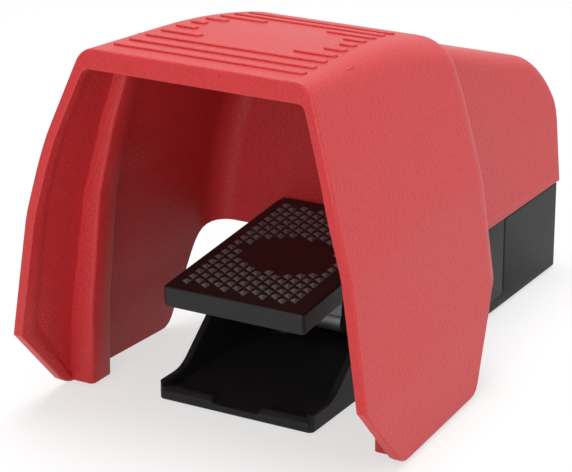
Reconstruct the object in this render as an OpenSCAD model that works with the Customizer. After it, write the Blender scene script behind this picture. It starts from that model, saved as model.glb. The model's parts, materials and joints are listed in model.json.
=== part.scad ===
// Guarded industrial foot switch.
// A black base carries a hinged, studded pedal under a red moulded guard hood. Pressing the pedal turns its lever
// arm, which pushes a rod through the sealed front wall of the switch chamber into a two-pole contact block.
// Millimetres, Z up, X across, Y from front to back. The origin lies on the floor, at the middle of the whole
// object. Each module works from the toe, where Y = 0 is the front edge of the base, and in_place() moves it.

/* [Base] */
// Width of the switch chamber at the rear of the base
base_w = 83.4; // [80:0.2:90]
// Length of the switch chamber, from its front wall to its rear face
chamber_l = 126.2; // [120:0.2:140]
// Height of the chamber's rim above the floor
base_top = 42; // [40:0.5:46]
// Wall thickness of the base
base_wall = 3; // [2.6:0.1:3.2]
// Thickness of the base's floor
floor_t = 3; // [2.6:0.1:4]
// Height by which the rubber feet lift the base
foot_lift = 1; // [0.6:0.1:2]
// Outside width of the open trough under the pedal
trough_w = 71.8; // [71:0.2:76]
// Length of the trough, from its front edge to the chamber wall
trough_l = 96; // [94:0.5:104]
// Thickness of the chamber's front wall
bulkhead_t = 7.7; // [7:0.1:10]
// Height of the trough's sides at the front corners
toe_h = 9; // [8:0.2:11]
// Height of the lip along the trough's front edge
lip_h = 6.2; // [5.6:0.1:7]
// Half-width of the notch in the lip, at its bottom
notch_w = 9; // [6:0.5:14]

/* [Guard hood] */
// Width across the wings at their widest
guard_w = 160; // [158:0.5:168]
// Width where the front opening bends first, going up
waist_w = 143.2; // [140:0.5:148]
// Width where it bends again
shoulder_w = 128; // [124:0.5:132]
// Width of the roof at the front
roof_w = 95.9; // [92:0.5:100]
// Height of the roof's front edge
guard_h = 155; // [152:0.5:165]
// Reach of the guard in front of the base
overhang = 38.3; // [34:0.5:44]
// Thickness of the guard's walls
guard_wall = 3.4; // [3:0.1:4]
// Thickness of the bead around the front opening
bead_t = 4.4; // [4.2:0.1:5.4]
// Height of the lip under the front edge of the roof
brow_h = 8; // [6:0.5:10]
// Rounding between the guard's sides, roof and back wall
back_r = 14; // [12:0.5:15]
// Gap between the wings and the floor
wing_clear = 1.5; // [1:0.1:4]
// Number of ribs on the roof
roof_ribs = 10; // [8:1:10]

/* [Rear cover] */
// Width of the cover along its lower edge
cover_w = 86; // [85:0.2:88]
// Height of the cover where it leaves the guard
cover_h = 135.5; // [132:0.5:136]
// Fall of the cover's top, per millimetre of length
cover_fall = 0.3; // [0.26:0.01:0.32]
// Thickness of the cover's walls
cover_wall = 2.6; // [2.2:0.1:3]
// Thickness of the gasket between base and cover
gasket_t = 1; // [0.8:0.1:1.5]

/* [Pedal] */
// Width of the pedal
pedal_w = 64.4; // [63:0.2:64.8]
// Depth of the pedal's skirt
pedal_t = 9; // [8:0.5:10]
// Height of the pedal's front edge at rest
pedal_z = 51.4; // [50:0.2:53]
// Slope of the pedal at rest, in degrees
pedal_tilt = 5; // [4:0.5:6]
// Thickness of the pedal's top plate
plate_t = 3; // [2.5:0.1:3.5]
// Distance from the hinge to the chamber wall
hinge_set = 10; // [10:0.1:11]
// Height of the hinge
hinge_z = 46; // [45:0.5:48]
// Diameter of the hinge pin
pin_d = 6; // [5:0.5:6.5]
// Travel of the pedal, in degrees
press_angle = 10; // [8:0.5:10]

/* [Push rod and contacts] */
// Height of the push rod's axis
rod_z = 14; // [13.5:0.1:14.5]
// Diameter of the push rod
rod_d = 8; // [7:0.5:9]
// Length of the rod's guide through the chamber wall
guide_l = 16; // [14:0.5:18]
// Diameter of the return spring's wire
spring_wire = 1.2; // [1:0.1:1.4]
// Width of the contact block
block_w = 36; // [34:0.5:38]
// Length of the contact block
block_l = 36; // [35:0.5:40]
// Height of the contact block without its lid
block_h = 18; // [17:0.5:20]

/* [Fixings] */
// Distance across of the threaded inserts in the underside
insert_dx = 48; // [44:0.5:50]
// Distance lengthwise of the threaded inserts in the underside
insert_dy = 116; // [114:0.5:118]
// Radius of the hole in the threaded inserts
insert_r = 2.1; // [1.6:0.1:2.2]
// Distance between the two cable entries
entry_dx = 38; // [34:0.5:40]
// Radius of the cable entries
entry_r = 9.2; // [7:0.1:9.4]
// Height of the cable entries
entry_z = 22; // [20:0.5:24]
// Length of the cable entries
entry_l = 10; // [8:0.5:12]

/* [Hidden] */
$fn = 48;

// Clearances: running is between moving faces, seat between a part and what it rests on
running = 0.05;
seat = 0.1;
side_play = 0.2;
skin = 0.01;

// Guard: heights of the bends, rounding of each, draft of the lowest stretch, narrowing to the rear per side
knee_z = 34;
waist_z = 91;
shoulder_z = 120;
bend_r = [60, 60, 40];
low_draft = 0.053;
toe_in = 0.055;
rake = 0.074;
rim_depth = 7;
roof_flat_y = 20;
roof_slope = 0.0394;
roof_r = 327;
edge_r = 3.5;
edge_growth = 0.117;
below = -5;
wing_rear_y = 66.5;
wing_rise = 1.92;
arch_r = 16;
pilaster_y = -4;
pilaster_w = 14;
pilaster_depth = [11, 9.6, 6.8, 5.8, 5];
boss_x = 22;
boss_z = [66, 112];
guard_boss_r = 5;
guard_screw_r = 2;

// Base
base_z = foot_lift;
floor_z = base_z + floor_t;
guard_y = trough_l + bulkhead_t - base_wall;
chamber_y = trough_l + bulkhead_t;
rear_y = trough_l + chamber_l;
corner_r = 3;
toe_r = 5;
seam_y = rear_y - 59;
seam_w = 0.8;
seam_bottom = 7.3;
post_r = 5.5;
post_x = base_w / 2 - base_wall - 3.7;
post_y = [chamber_y + 8, rear_y - 11];
cover_screw_r = 2;
screw_sink = 26;
foot_r = 6;
foot_sink = 2;
foot_at = [[25, 22], [28, rear_y - 34]];
insert_or = 3.2;
insert_l = 7;
insert_y = 84;
plug_head_r = 12;
plug_head_t = 2;
plug_seal_t = 1;
overall_l = overhang + rear_y + plug_seal_t + plug_head_t;

// Cover
cover_z = base_top + gasket_t;
cover_rear = rear_y + 0.8;
flange_h = 3;
top_rear_r = 26;
side_rear_r = 9;
crease_fall = 0.215;
crease_drop = 34.6;
crease_in = 1.9;
top_in = 7.4;

// Pedal, lever and rod
hinge_y = trough_l - hinge_set;
pedal_y = -1.2;
pedal_back = guard_y - guard_wall - 1.3;
pedal_l = (pedal_back - pedal_y) / cos(pedal_tilt);
pedal_wall = 2.6;
lug_r = 7.5;
lug_in = 20;
bush_r = 4.5;
bush_flange = 0.5;
trough_in = trough_w / 2 - base_wall;
arm_w = 12;
arm_t = 8;
nose_r = 5;
arm_l = hinge_z - rod_z;
swing = press_angle / 2;
nose_y = hinge_y - arm_l * tan(swing);
rod_y = nose_y + nose_r + seat;
travel = 2 * arm_l * tan(swing);
rod_flange_r = 7;
rod_flange_t = 1.5;
seal_t = 3;
guide_r = 8;
guide_end = trough_l + guide_l;
clip_t = 1.2;
clip_r = 6.5;
clip_y = guide_end + 0.3;
pad_r = 5;
pad_z = rod_z + 16;
pad_y = hinge_y + (hinge_z - pad_z + pad_r) * tan(swing) + arm_t / 2 / cos(swing) + 0.15;
tongue_w = 16;
arm_screw_s = [56, 70];

// Contact block
block_y = guide_end + 22;
block_z = floor_z + 4;
block_top = block_z + block_h;
block_wall = 5.4;
block_end = 2.5;
block_floor = 2;
lid_t = 2;
ear_w = 7;
ear_l = 12;
ear_t = 3;
block_screw_r = 1.5;
plunger_r = 3;
stick_out = travel + 1.4;
bar_w = 8;
bar_h = 6;
bridge_w = 23;
bridge_h = 3;
bridge_t = 0.8;
closed_y = block_y + 10;
open_y = block_y + 22;
tip_r = 1.5;
tip_t = 0.8;
tip_x = bridge_w / 2 - tip_r;
strip_t = 1.2;
strip_w = 4;
strip_foot_h = 4;
strip_x = block_w / 2 - block_wall - 0.2;
terminal_x = block_w / 2 - block_wall / 2;
terminal_r = 1.75;
terminal_screw_l = 9;
clamp_w = 5;

// ---- Outline and loft helpers ----

function unit(v) = v / norm(v);

function mirror_x(path) = [for (i = [len(path) - 1:-1:0]) [-path[i].x, path[i].y]];

// Point where the line through p along u crosses the line through q along v
function meet(p, u, q, v) = p + u * cross(q - p, v) / cross(u, v);

// Arc of radius r in the corner a-b-c, as n + 1 points
function corner_arc(a, b, c, r, n) =
    let (u = unit(a - b), v = unit(c - b), half = acos(u * v) / 2,
        middle = b + unit(u + v) * r / sin(half),
        start = b + u * r / tan(half) - middle,
        stop = b + v * r / tan(half) - middle,
        turn = (180 - 2 * half) * sign(cross(start, stop)))
    [for (i = [0:n]) let (t = turn * i / n)
        middle + [start.x * cos(t) - start.y * sin(t), start.x * sin(t) + start.y * cos(t)]];

// Closed outline from corners [x, y, radius]
function outline(p, n = 6) =
    let (m = len(p), xy = [for (q = p) [q.x, q.y]])
    [for (i = [0:m - 1])
        each (p[i][2] > 0
            ? corner_arc(xy[(i + m - 1) % m], xy[i], xy[(i + 1) % m], p[i][2], n)
            : [xy[i]])];

// Half of an arch from its foot to the middle of its top, moved inwards by d at the side and d_top at the top
function inset_arch(p, d, d_top) =
    let (n = len(p) - 1,
        t = [for (i = [0:n - 1]) unit(p[i + 1] - p[i])],
        q = [for (i = [0:n - 1]) p[i] + [-t[i].y, t[i].x] * (i == n - 1 ? d_top : d)])
    [for (i = [0:n]) i == 0 ? meet(q[0], t[0], p[0], [1, 0])
        : i == n ? [0, q[n - 1].y]
        : meet(q[i - 1], t[i - 1], q[i], t[i])];

// Closed arch outline with its corners rounded, n[i] steps in corner i
function arch(p, r, n) =
    let (m = len(p) - 1,
        corners = [for (i = [1:m - 1]) each corner_arc(p[i - 1], p[i], p[i + 1], r[i - 1], n[i - 1])],
        half = concat([p[0]], corners))
    concat(half, mirror_x(half));

// Solid through a row of outlines with the same number of points
module loft(rings) {
    m = len(rings[0]);
    k = len(rings);
    sides = [for (i = [0:k - 2], j = [0:m - 1])
        let (a = i * m + j, b = i * m + (j + 1) % m)
        each [[a, b, b + m], [a, b + m, a + m]]];
    ends = [[for (j = [m - 1:-1:0]) j], [for (j = [0:m - 1]) (k - 1) * m + j]];
    polyhedron([for (r = rings) each r], concat(sides, ends));
}

// ---- Placing helpers ----

module in_place() { translate([0, overhang - overall_l / 2, 0]) children(); }

// Outline in Y and Z, drawn across X
module across(w) { translate([-w / 2, 0, 0]) rotate([90, 0, 90]) linear_extrude(w) children(); }

// Outline in X and Z, drawn along Y from y to y + l
module lengthwise(y, l) { translate([0, y + l, 0]) rotate([90, 0, 0]) linear_extrude(l) children(); }

module rod_along_y(x, y, z, r, l) { translate([x, y, z]) rotate([-90, 0, 0]) cylinder(r = r, h = l); }

module rod_along_x(x, y, z, r, l) { translate([x, y, z]) rotate([0, 90, 0]) cylinder(r = r, h = l); }

module both_sides() { children(); mirror([1, 0, 0]) children(); }

module rounded_rect(w, l, r) {
    translate([r - w / 2, 0]) square([w - 2 * r, l]);
    translate([-w / 2, r]) square([w, l - 2 * r]);
    for (x = [r - w / 2, w / 2 - r], y = [r, l - r]) translate([x, y]) circle(r);
}

// Cylinder head and shank pointing along +Z, with its shoulder at Z = 0
module screw(shank_r, shank_l, head_r, head_h) {
    difference() {
        union() {
            cylinder(r = shank_r, h = shank_l);
            translate([0, 0, -head_h]) cylinder(r = head_r, h = head_h);
        }
        translate([-head_r * 0.7, -0.4, -head_h - skin]) cube([head_r * 1.4, 0.8, head_h * 0.4]);
        translate([-0.4, -head_r * 0.7, -head_h - skin]) cube([0.8, head_r * 1.4, head_h * 0.4]);
    }
}

// ---- Guard hood ----

function roof_z(y) =
    let (y0 = -overhang + (guard_h - knee_z) * rake, t = max(y - roof_flat_y, 0))
    guard_h - roof_slope * (y - y0) - t * t / (2 * roof_r);

// Corners of the guard's half section at y, before rounding
function guard_corners(y, foot = below) =
    let (lean = (shoulder_w - roof_w) / 2 / (guard_h - shoulder_z),
        z = roof_z(y), s = toe_in * (y + overhang))
    [[guard_w / 2 + (knee_z - foot) * low_draft - s, foot], [guard_w / 2 - s, knee_z],
        [waist_w / 2 - s, waist_z], [shoulder_w / 2 - s, shoulder_z],
        [shoulder_w / 2 - lean * (z - shoulder_z) - s, z], [0, z]];

// Section of the guard at y, inset by d at the sides and d_top at the roof. It leans with the front when lean is 1.
function guard_ring(y, d, d_top, lean = 0, foot = below) =
    let (edge = edge_r + edge_growth * max(y + overhang - 9, 0),
        path = inset_arch(guard_corners(y, foot), d, d_top),
        r = [for (b = concat(bend_r, [edge])) max(b - min(d, d_top), 0.6)])
    [for (p = arch(path, r, [3, 3, 3, 8])) [p.x, y + lean * rake * (p.y - knee_z), p.y]];

// Where the roof's sections stand, and the angles of those in the back rounding
roof_steps = [for (i = [0:5]) roof_flat_y + (guard_y - back_r - roof_flat_y) * i / 5];
back_steps = [12, 25, 38, 51, 64, 77, 90];

// Sections from the given one to the back wall, rounded into it with radius r
function rounded_back(y_end, r, d, foot) =
    [for (a = back_steps) let (e = r * (1 - cos(a))) guard_ring(y_end - r + r * sin(a), d + e, d + e, 0, foot)];

module guard_outside() {
    loft(concat(
        [for (y = concat([-overhang - 5], roof_steps)) guard_ring(y, 0, 0)],
        rounded_back(guard_y, back_r, 0, below)));
}

module guard_inside() {
    start = -overhang - 12;
    bead_end = -overhang + rim_depth;
    foot = below - 3;
    loft(concat(
        [guard_ring(start, bead_t, brow_h, 1, foot), guard_ring(bead_end, bead_t, brow_h, 1, foot),
            guard_ring(bead_end + 1, guard_wall, guard_wall, 1, foot)],
        [for (y = roof_steps) guard_ring(y, guard_wall, guard_wall, 0, foot)],
        rounded_back(guard_y - guard_wall, back_r - guard_wall, guard_wall, foot)));
}

// Side view that trims the guard: front plane, wing bottoms and the arch behind the wings
module guard_side() {
    top = guard_h + 10;
    back = guard_y + 10;
    arch_z = base_top + 2;
    wing_y = wing_rear_y + (arch_z - wing_clear) / wing_rise;
    polygon(outline([
        [-overhang + (top - knee_z) * rake, top, 0],
        [-overhang, knee_z, 0],
        [-overhang + (knee_z - wing_clear) / 1.07, wing_clear, 14],
        [wing_rear_y, wing_clear, 7],
        [wing_y, arch_z, arch_r],
        [back, arch_z, 0],
        [back, top, 0]]));
}

// Stiffening pilaster inside the right wing, from the floor to the roof
module pilaster() {
    y = pilaster_y + pilaster_w / 2;
    c = inset_arch(guard_corners(y), guard_wall, guard_wall);
    lengthwise(pilaster_y, pilaster_w) polygon(concat(
        [for (i = [0:4]) c[i] + [1.6, i == 4 ? 1 : 0]],
        [for (i = [4:-1:0]) c[i] - [pilaster_depth[i], i == 4 ? -1 : 0]]));
}

// Raised ribs across the roof. From the fourth on they leave a bare oval in the middle.
rib_y0 = -16.6;
rib_pitch = 9.7;
rib_w = 4.4;
rib_h = 0.8;
rib_edge = 41.9;
oval_y = 30;
oval_r = [30, 24];

module roof_rib(y, x0, x1) {
    slope = atan(roof_slope + max(y - roof_flat_y, 0) / roof_r);
    translate([x0, y, roof_z(y)]) rotate([-slope, 0, 0])
        translate([0, -rib_w / 2, -0.6]) cube([x1 - x0, rib_w, rib_h + 0.6]);
}

module ribs() {
    for (i = [0:roof_ribs - 1]) {
        y = rib_y0 + rib_pitch * i;
        edge = rib_edge - 0.0974 * rib_pitch * i;
        t = (y - oval_y) / oval_r.y;
        gap = abs(t) < 1 && i > 2 ? oval_r.x * sqrt(1 - t * t) : 0;
        if (gap == 0) roof_rib(y, -edge, edge);
        else both_sides() roof_rib(y, gap, edge);
    }
}

module guard_hood() {
    color("firebrick") in_place() difference() {
        union() {
            intersection() {
                union() {
                    difference() {
                        guard_outside();
                        guard_inside();
                    }
                    both_sides() pilaster();
                }
                across(guard_w + 20) guard_side();
            }
            ribs();
            both_sides() for (z = boss_z)
                rod_along_y(boss_x, guard_y - 1, z, guard_boss_r, base_wall + 1 - seat);
        }
        both_sides() for (z = boss_z)
            rod_along_y(boss_x, guard_y - guard_wall + 1.2, z, guard_screw_r + running, 20);
    }
}

// ---- Rear cover ----

function cover_top(y) = cover_h - cover_fall * (y - guard_y);

function cover_ring(y, d, d_top, foot = cover_z) =
    let (z = cover_top(y), w = cover_w / 2, lean = (top_in - crease_in) / crease_drop,
        crease = min(cover_h - crease_drop - crease_fall * (y - guard_y), z - d_top - 12),
        path = inset_arch([[w, foot], [w - crease_in, crease],
            [w - crease_in - lean * (z - crease), z], [0, z]], d, d_top),
        r = [for (b = [40, 10]) max(b - min(d, d_top), 0.6)])
    [for (p = arch(path, r, [4, 6])) [p.x, y, p.y]];

// How far a rounding of radius r that ends at y_end has drawn in at y
function drawn_in(y, y_end, r) = y < y_end - r ? 0 : r - sqrt(max(r * r - pow(y - y_end + r, 2), 0));

module cover_block(y0, y_end, d, foot) {
    steps = [0, 5, 10, 14, 17.5, 20.5, 23, 25, 26];
    r_top = top_rear_r - d;
    r_side = side_rear_r - d;
    loft(concat([cover_ring(y0, d, d, foot)],
        [for (s = steps) let (y = y_end - r_top + s * r_top / 26)
            cover_ring(y, d + drawn_in(y, y_end, r_side), d + drawn_in(y, y_end, r_top), foot)]));
}

module cover_screw_places() { both_sides() for (y = post_y) translate([post_x, y, 0]) children(); }

module rear_cover() {
    color("firebrick") in_place() difference() {
        union() {
            difference() {
                cover_block(guard_y, cover_rear, 0, cover_z);
                cover_block(chamber_y, cover_rear - cover_wall, cover_wall, cover_z - 1);
            }
            translate([0, 0, cover_z]) linear_extrude(flange_h) difference() {
                translate([0, guard_y]) rounded_rect(base_w, rear_y - guard_y, corner_r);
                chamber_plan();
            }
            cover_screw_places() translate([0, 0, cover_z]) cylinder(r = post_r + 0.5, h = 26);
        }
        cover_screw_places() translate([0, 0, cover_z - 1]) cylinder(r = cover_screw_r + running, h = 19);
        both_sides() for (z = boss_z)
            rod_along_y(boss_x, guard_y - 1, z, guard_boss_r + side_play, base_wall + 2);
    }
}

// ---- Base ----

// Inside of the chamber, seen from above
module chamber_plan() {
    translate([base_wall - base_w / 2, chamber_y])
        square([base_w - 2 * base_wall, rear_y - base_wall - chamber_y]);
}

// Side view of the trough's walls, from the toe up to the hinge
module trough_side() {
    slope = 0.79;
    ear_z = hinge_z + 1;
    run = 17 + (ear_z - toe_h + 0.2) / slope;
    polygon(outline([[0, base_z, 0], [0, toe_h, 1.5], [17, toe_h - 0.2, 16], [run, ear_z, 6],
        [hinge_y + 6, ear_z, 2], [trough_l, base_top, 0], [trough_l, base_z, 0]]));
}

// Side view of the lip along the front edge
module lip_side() {
    polygon([[0, base_z], [0, lip_h - 1.6], [2.6, lip_h], [5, lip_h], [6.5, floor_z], [6.5, base_z]]);
}

module trough() {
    intersection() {
        union() {
            translate([-trough_w / 2, 0, base_z]) cube([trough_w, trough_l + 1, floor_t]);
            difference() {
                across(trough_w) lip_side();
                lengthwise(-1, 9) polygon([[-notch_w, lip_h - 3.4], [notch_w, lip_h - 3.4],
                    [notch_w + 3.4, lip_h + 1], [-notch_w - 3.4, lip_h + 1]]);
            }
            both_sides() {
                translate([trough_in + base_wall / 2, 0, 0]) across(base_wall) trough_side();
                rod_along_x(trough_in, hinge_y, hinge_z, 9, base_wall);
            }
        }
        linear_extrude(base_top + 50) rounded_rect(trough_w, trough_l + 10, toe_r);
    }
}

module base_housing() {
    color("#2b2b2d") in_place() difference() {
        union() {
            trough();
            difference() {
                translate([0, trough_l, base_z]) linear_extrude(base_top - base_z)
                    rounded_rect(base_w, chamber_l, corner_r);
                translate([0, 0, floor_z]) linear_extrude(base_top) chamber_plan();
            }
            // Guide for the push rod, pads for the cable entries, posts for the screws and the contact block
            rod_along_y(0, chamber_y - 1, rod_z, guide_r, guide_end - chamber_y + 1);
            intersection() {
                both_sides() rod_along_y(entry_dx / 2, rear_y - entry_l, entry_z, entry_r + 4, entry_l - 1);
                translate([-base_w / 2 + 1, chamber_y, floor_z - 1])
                    cube([base_w - 2, chamber_l, base_top - floor_z]);
            }
            translate([0, 0, floor_z - 1]) {
                cover_screw_places() cylinder(r = post_r, h = base_top - floor_z + 1);
                block_screw_places() cylinder(r = 4, h = block_z - floor_z + 1);
                insert_places() cylinder(r = 5.4, h = insert_l + base_z + 2 - floor_z + 1);
            }
        }
        rod_along_y(0, trough_l - 1, rod_z, rod_d / 2 + running, guide_l + 2);
        rod_along_y(0, trough_l - 1, rod_z, rod_flange_r + seat, seal_t + 1);
        both_sides() rod_along_x(trough_in - 1, hinge_y, hinge_z, pin_d / 2 + running, base_wall + 2);
        both_sides() rod_along_y(entry_dx / 2, rear_y - entry_l - 1, entry_z, entry_r, entry_l + 2);
        cover_screw_places() {
            cylinder(r = cover_screw_r + 0.2, h = base_top + 1);
            cylinder(r = 4.2, h = screw_sink);
        }
        block_screw_places() translate([0, 0, base_z + 2]) cylinder(r = block_screw_r + running, h = 20);
        insert_places() cylinder(r = insert_or + running, h = base_z + insert_l + seat);
        foot_places() cylinder(r = foot_r + seat, h = base_z + foot_sink);
        both_sides() translate([base_w / 2 - 0.7, seam_y - seam_w / 2, seam_bottom])
            cube([2, seam_w, base_top]);
    }
}

module foot_places() { both_sides() for (p = foot_at) translate([p.x, p.y, 0]) children(); }

module insert_places() {
    both_sides() for (y = [insert_y, insert_y + insert_dy]) translate([insert_dx / 2, y, 0]) children();
}

module block_screw_places() {
    both_sides() translate([block_w / 2 + ear_w / 2, block_y + block_l / 2, 0]) children();
}

module cover_gasket() {
    color("#1c1c1c") in_place() translate([0, 0, base_top]) linear_extrude(gasket_t) difference() {
        union() {
            difference() {
                translate([0, guard_y]) rounded_rect(base_w - 0.6, rear_y - guard_y - 0.3, corner_r);
                chamber_plan();
            }
            cover_screw_places() circle(post_r - 0.3);
        }
        cover_screw_places() circle(cover_screw_r + 0.3);
    }
}

module rubber_feet() {
    color("#202020") in_place() foot_places() rotate_extrude()
        polygon([[0, 0], [foot_r - 0.6, 0], [foot_r, 0.6], [foot_r, base_z + foot_sink - 0.05],
            [0, base_z + foot_sink - 0.05]]);
}

module floor_inserts() {
    color("goldenrod") in_place() insert_places() translate([0, 0, base_z]) difference() {
        cylinder(r = insert_or, h = insert_l);
        translate([0, 0, -1]) cylinder(r = insert_r, h = insert_l + 2);
        translate([0, 0, insert_l * 0.6]) rotate_extrude() translate([insert_or - 0.4, 0]) square([1, 1]);
    }
}

module cover_screws() {
    color("silver") in_place() cover_screw_places() translate([0, 0, screw_sink - 0.05])
        screw(cover_screw_r, cover_z + 16 - screw_sink, 3.6, 2.6);
}

module guard_washers() {
    color("silver") in_place() both_sides() for (z = boss_z)
        difference() {
            rod_along_y(boss_x, chamber_y, z, 6.4, 1);
            rod_along_y(boss_x, chamber_y - 1, z, guard_screw_r + 0.3, 3);
        }
}

module guard_screws() {
    color("silver") in_place() both_sides() for (z = boss_z)
        translate([boss_x, chamber_y + 1, z]) rotate([90, 0, 0])
            screw(guard_screw_r, base_wall + guard_wall - 0.8, 3.8, 2.6);
}

module blanking_plug() {
    color("#2b2b2d") in_place() difference() {
        union() {
            rod_along_y(-entry_dx / 2, rear_y - entry_l + 1, entry_z,
                entry_r - running, entry_l + plug_seal_t);
            rod_along_y(-entry_dx / 2, rear_y + plug_seal_t, entry_z, plug_head_r, plug_head_t);
        }
        translate([-entry_dx / 2 - 7, rear_y + plug_seal_t + plug_head_t - 1.2, entry_z - 1]) cube([14, 3, 2]);
        rod_along_y(-entry_dx / 2, rear_y - entry_l, entry_z, entry_r - 2.4, entry_l - 1);
    }
}

module plug_seal() {
    color("#1c1c1c") in_place() difference() {
        rod_along_y(-entry_dx / 2, rear_y, entry_z, plug_head_r - 0.6, plug_seal_t);
        rod_along_y(-entry_dx / 2, rear_y - 1, entry_z, entry_r + 0.2, plug_seal_t + 2);
    }
}

// ---- Pedal ----

// Along the pedal's own slope: X across, Y up its slope from the front edge, Z square to its top
module on_pedal() { translate([0, pedal_y, pedal_z]) rotate([pedal_tilt, 0, 0]) children(); }

pin_s = (hinge_y - pedal_y) * cos(pedal_tilt) + (hinge_z - pedal_z) * sin(pedal_tilt);
pin_h = (hinge_z - pedal_z) * cos(pedal_tilt) - (hinge_y - pedal_y) * sin(pedal_tilt);

module pedal_plan(inset) {
    w = pedal_w / 2 - inset;
    r = max(5 - inset, 1.5);
    polygon(outline([[-w, inset, 1.5], [w, inset, 1.5], [w, pedal_l - inset, r], [-w, pedal_l - inset, r]]));
}

module pedal() {
    lug_w = pedal_w / 2 - lug_in;
    color("#2b2b2d") in_place() difference() {
        union() {
            on_pedal() {
                translate([0, 0, -plate_t]) linear_extrude(plate_t) pedal_plan(0);
                translate([0, 0, -pedal_t]) linear_extrude(pedal_t - 1) difference() {
                    pedal_plan(0);
                    pedal_plan(pedal_wall);
                }
                both_sides() {
                    translate([lug_in, pin_s - lug_r, pin_h]) cube([lug_w, 2 * lug_r, -pin_h - 1]);
                    rod_along_x(lug_in, pin_s, pin_h, lug_r, lug_w);
                    translate([lug_in, pedal_wall - 1, -pedal_t + 1]) cube([2, pin_s - lug_r, pedal_t - 2]);
                }
                for (s = arm_screw_s) translate([0, s, -pedal_t + 3]) cylinder(r = 5, h = pedal_t - 4);
            }
        }
        on_pedal() {
            both_sides() rod_along_x(lug_in - 1, pin_s, pin_h, bush_r + 0.02, lug_w + 2);
            for (s = arm_screw_s) translate([0, s, -pedal_t])
                cylinder(r = guard_screw_r + running, h = pedal_t - 1.4);
        }
    }
}

module pivot_bushes() {
    color("#d8cfa8") in_place() both_sides() difference() {
        union() {
            rod_along_x(lug_in, hinge_y, hinge_z, bush_r, pedal_w / 2 - lug_in + skin);
            rod_along_x(pedal_w / 2 + skin, hinge_y, hinge_z, bush_r + 2, bush_flange - 0.05);
        }
        rod_along_x(lug_in - 1, hinge_y, hinge_z, pin_d / 2 + running, pedal_w);
    }
}

// Side view of the lever arm: hub, beam under the pedal, arm down to the push rod, and its round nose
module lever_side() {
    length = arm_l / cos(swing);
    translate([hinge_y, hinge_z]) {
        circle(lug_r);
        rotate(-swing) translate([-arm_t / 2, -length]) square([arm_t, length]);
    }
    translate([nose_y, rod_z]) circle(nose_r);
    translate([pedal_y, pedal_z]) rotate(pedal_tilt)
        translate([arm_screw_s[1] + 6, pin_h]) square([pin_s - arm_screw_s[1] - 6, -pedal_t + 2 - pin_h]);
}

module lever_arm() {
    tongue_z = -pedal_t + 3;
    color("#8c9096") in_place() difference() {
        union() {
            on_pedal() translate([-tongue_w / 2, arm_screw_s[0] - 7, tongue_z - 3])
                cube([tongue_w, pin_s - arm_screw_s[0] + 5, 3]);
            across(arm_w) lever_side();
        }
        rod_along_x(-arm_w, hinge_y, hinge_z, pin_d / 2 + running, 2 * arm_w);
        on_pedal() for (s = arm_screw_s) translate([0, s, tongue_z - 4])
            cylinder(r = guard_screw_r + 0.2, h = 5);
    }
}

module arm_screws() {
    color("silver") in_place() on_pedal() for (s = arm_screw_s)
        translate([0, s, -pedal_t]) screw(guard_screw_r, pedal_t - 1.6, 3.6, 2.4);
}

module pivot_pin() {
    length = trough_w + 4.6;
    color("silver") in_place() difference() {
        rod_along_x(-length / 2, hinge_y, hinge_z, pin_d / 2, length);
        both_sides() difference() {
            rod_along_x(trough_w / 2 + seat, hinge_y, hinge_z, pin_d, 1);
            rod_along_x(trough_w / 2, hinge_y, hinge_z, pin_d / 2 - 0.6, 2);
        }
    }
}

module pin_clips() {
    color("silver") in_place() both_sides() translate([trough_w / 2 + seat + 0.05, hinge_y, hinge_z]) rotate([0, 90, 0])
        difference() {
            cylinder(r = pin_d / 2 + 2, h = 0.9);
            translate([0, 0, -1]) cylinder(r = pin_d / 2 - 0.55, h = 3);
            translate([-pin_d / 2 - 3, -1.6, -1]) cube([pin_d / 2 + 3, 3.2, 3]);
        }
}

// ---- Push rod ----

module stop_pad() {
    color("#202020") in_place() rod_along_y(0, pad_y, pad_z, pad_r, trough_l - pad_y);
}

module rod_seal() {
    color("#202020") in_place() difference() {
        rod_along_y(0, trough_l, rod_z, rod_flange_r, seal_t);
        rod_along_y(0, trough_l - 1, rod_z, rod_d / 2 + running, seal_t + 2);
    }
}

module push_rod() {
    end_y = block_y - stick_out - seat;
    color("silver") in_place() {
        difference() {
            union() {
                rod_along_y(0, rod_y, rod_z, rod_flange_r, rod_flange_t);
                rod_along_y(0, rod_y, rod_z, rod_d / 2, clip_y + clip_t + 1 - rod_y);
            }
            difference() {
                rod_along_y(0, clip_y, rod_z, rod_d, clip_t);
                rod_along_y(0, clip_y - 1, rod_z, rod_d / 2 - 0.6, clip_t + 2);
            }
        }
        rod_along_y(0, clip_y + clip_t, rod_z, plunger_r, end_y - clip_y - clip_t);
    }
}

module rod_clip() {
    color("silver") in_place() difference() {
        rod_along_y(0, clip_y + 0.05, rod_z, clip_r, clip_t - 0.1);
        rod_along_y(0, clip_y - 1, rod_z, rod_d / 2 - 0.55, clip_t + 2);
        translate([-1.8, clip_y - 1, rod_z]) cube([3.6, clip_t + 2, clip_r + 1]);
    }
}

// Coil spring along Y from y to y + l
module coil(x, y, z, r, wire, l, turns, per_turn, sides) {
    steps = turns * per_turn;
    rings = [for (i = [0:steps])
        let (a = 360 * i / per_turn, c = [x + r * cos(a), y + wire / 2 + (l - wire) * i / steps, z + r * sin(a)])
        [for (j = [sides - 1:-1:0]) let (b = 360 * j / sides)
            c + wire / 2 * (cos(b) * [cos(a), 0, sin(a)] + sin(b) * [0, 1, 0])]];
    loft(rings);
}

module return_spring() {
    y = clip_y + clip_t;
    color("silver") in_place() coil(0, y, rod_z, (rod_d + spring_wire) / 2 + 1.4, spring_wire,
        block_y - seat - y, 6, 16, 6);
}

// ---- Contact block ----

module block_ears(x0, w) {
    both_sides() translate([x0, block_y + (block_l - ear_l) / 2, block_z]) cube([w, ear_l, ear_t]);
}

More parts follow.
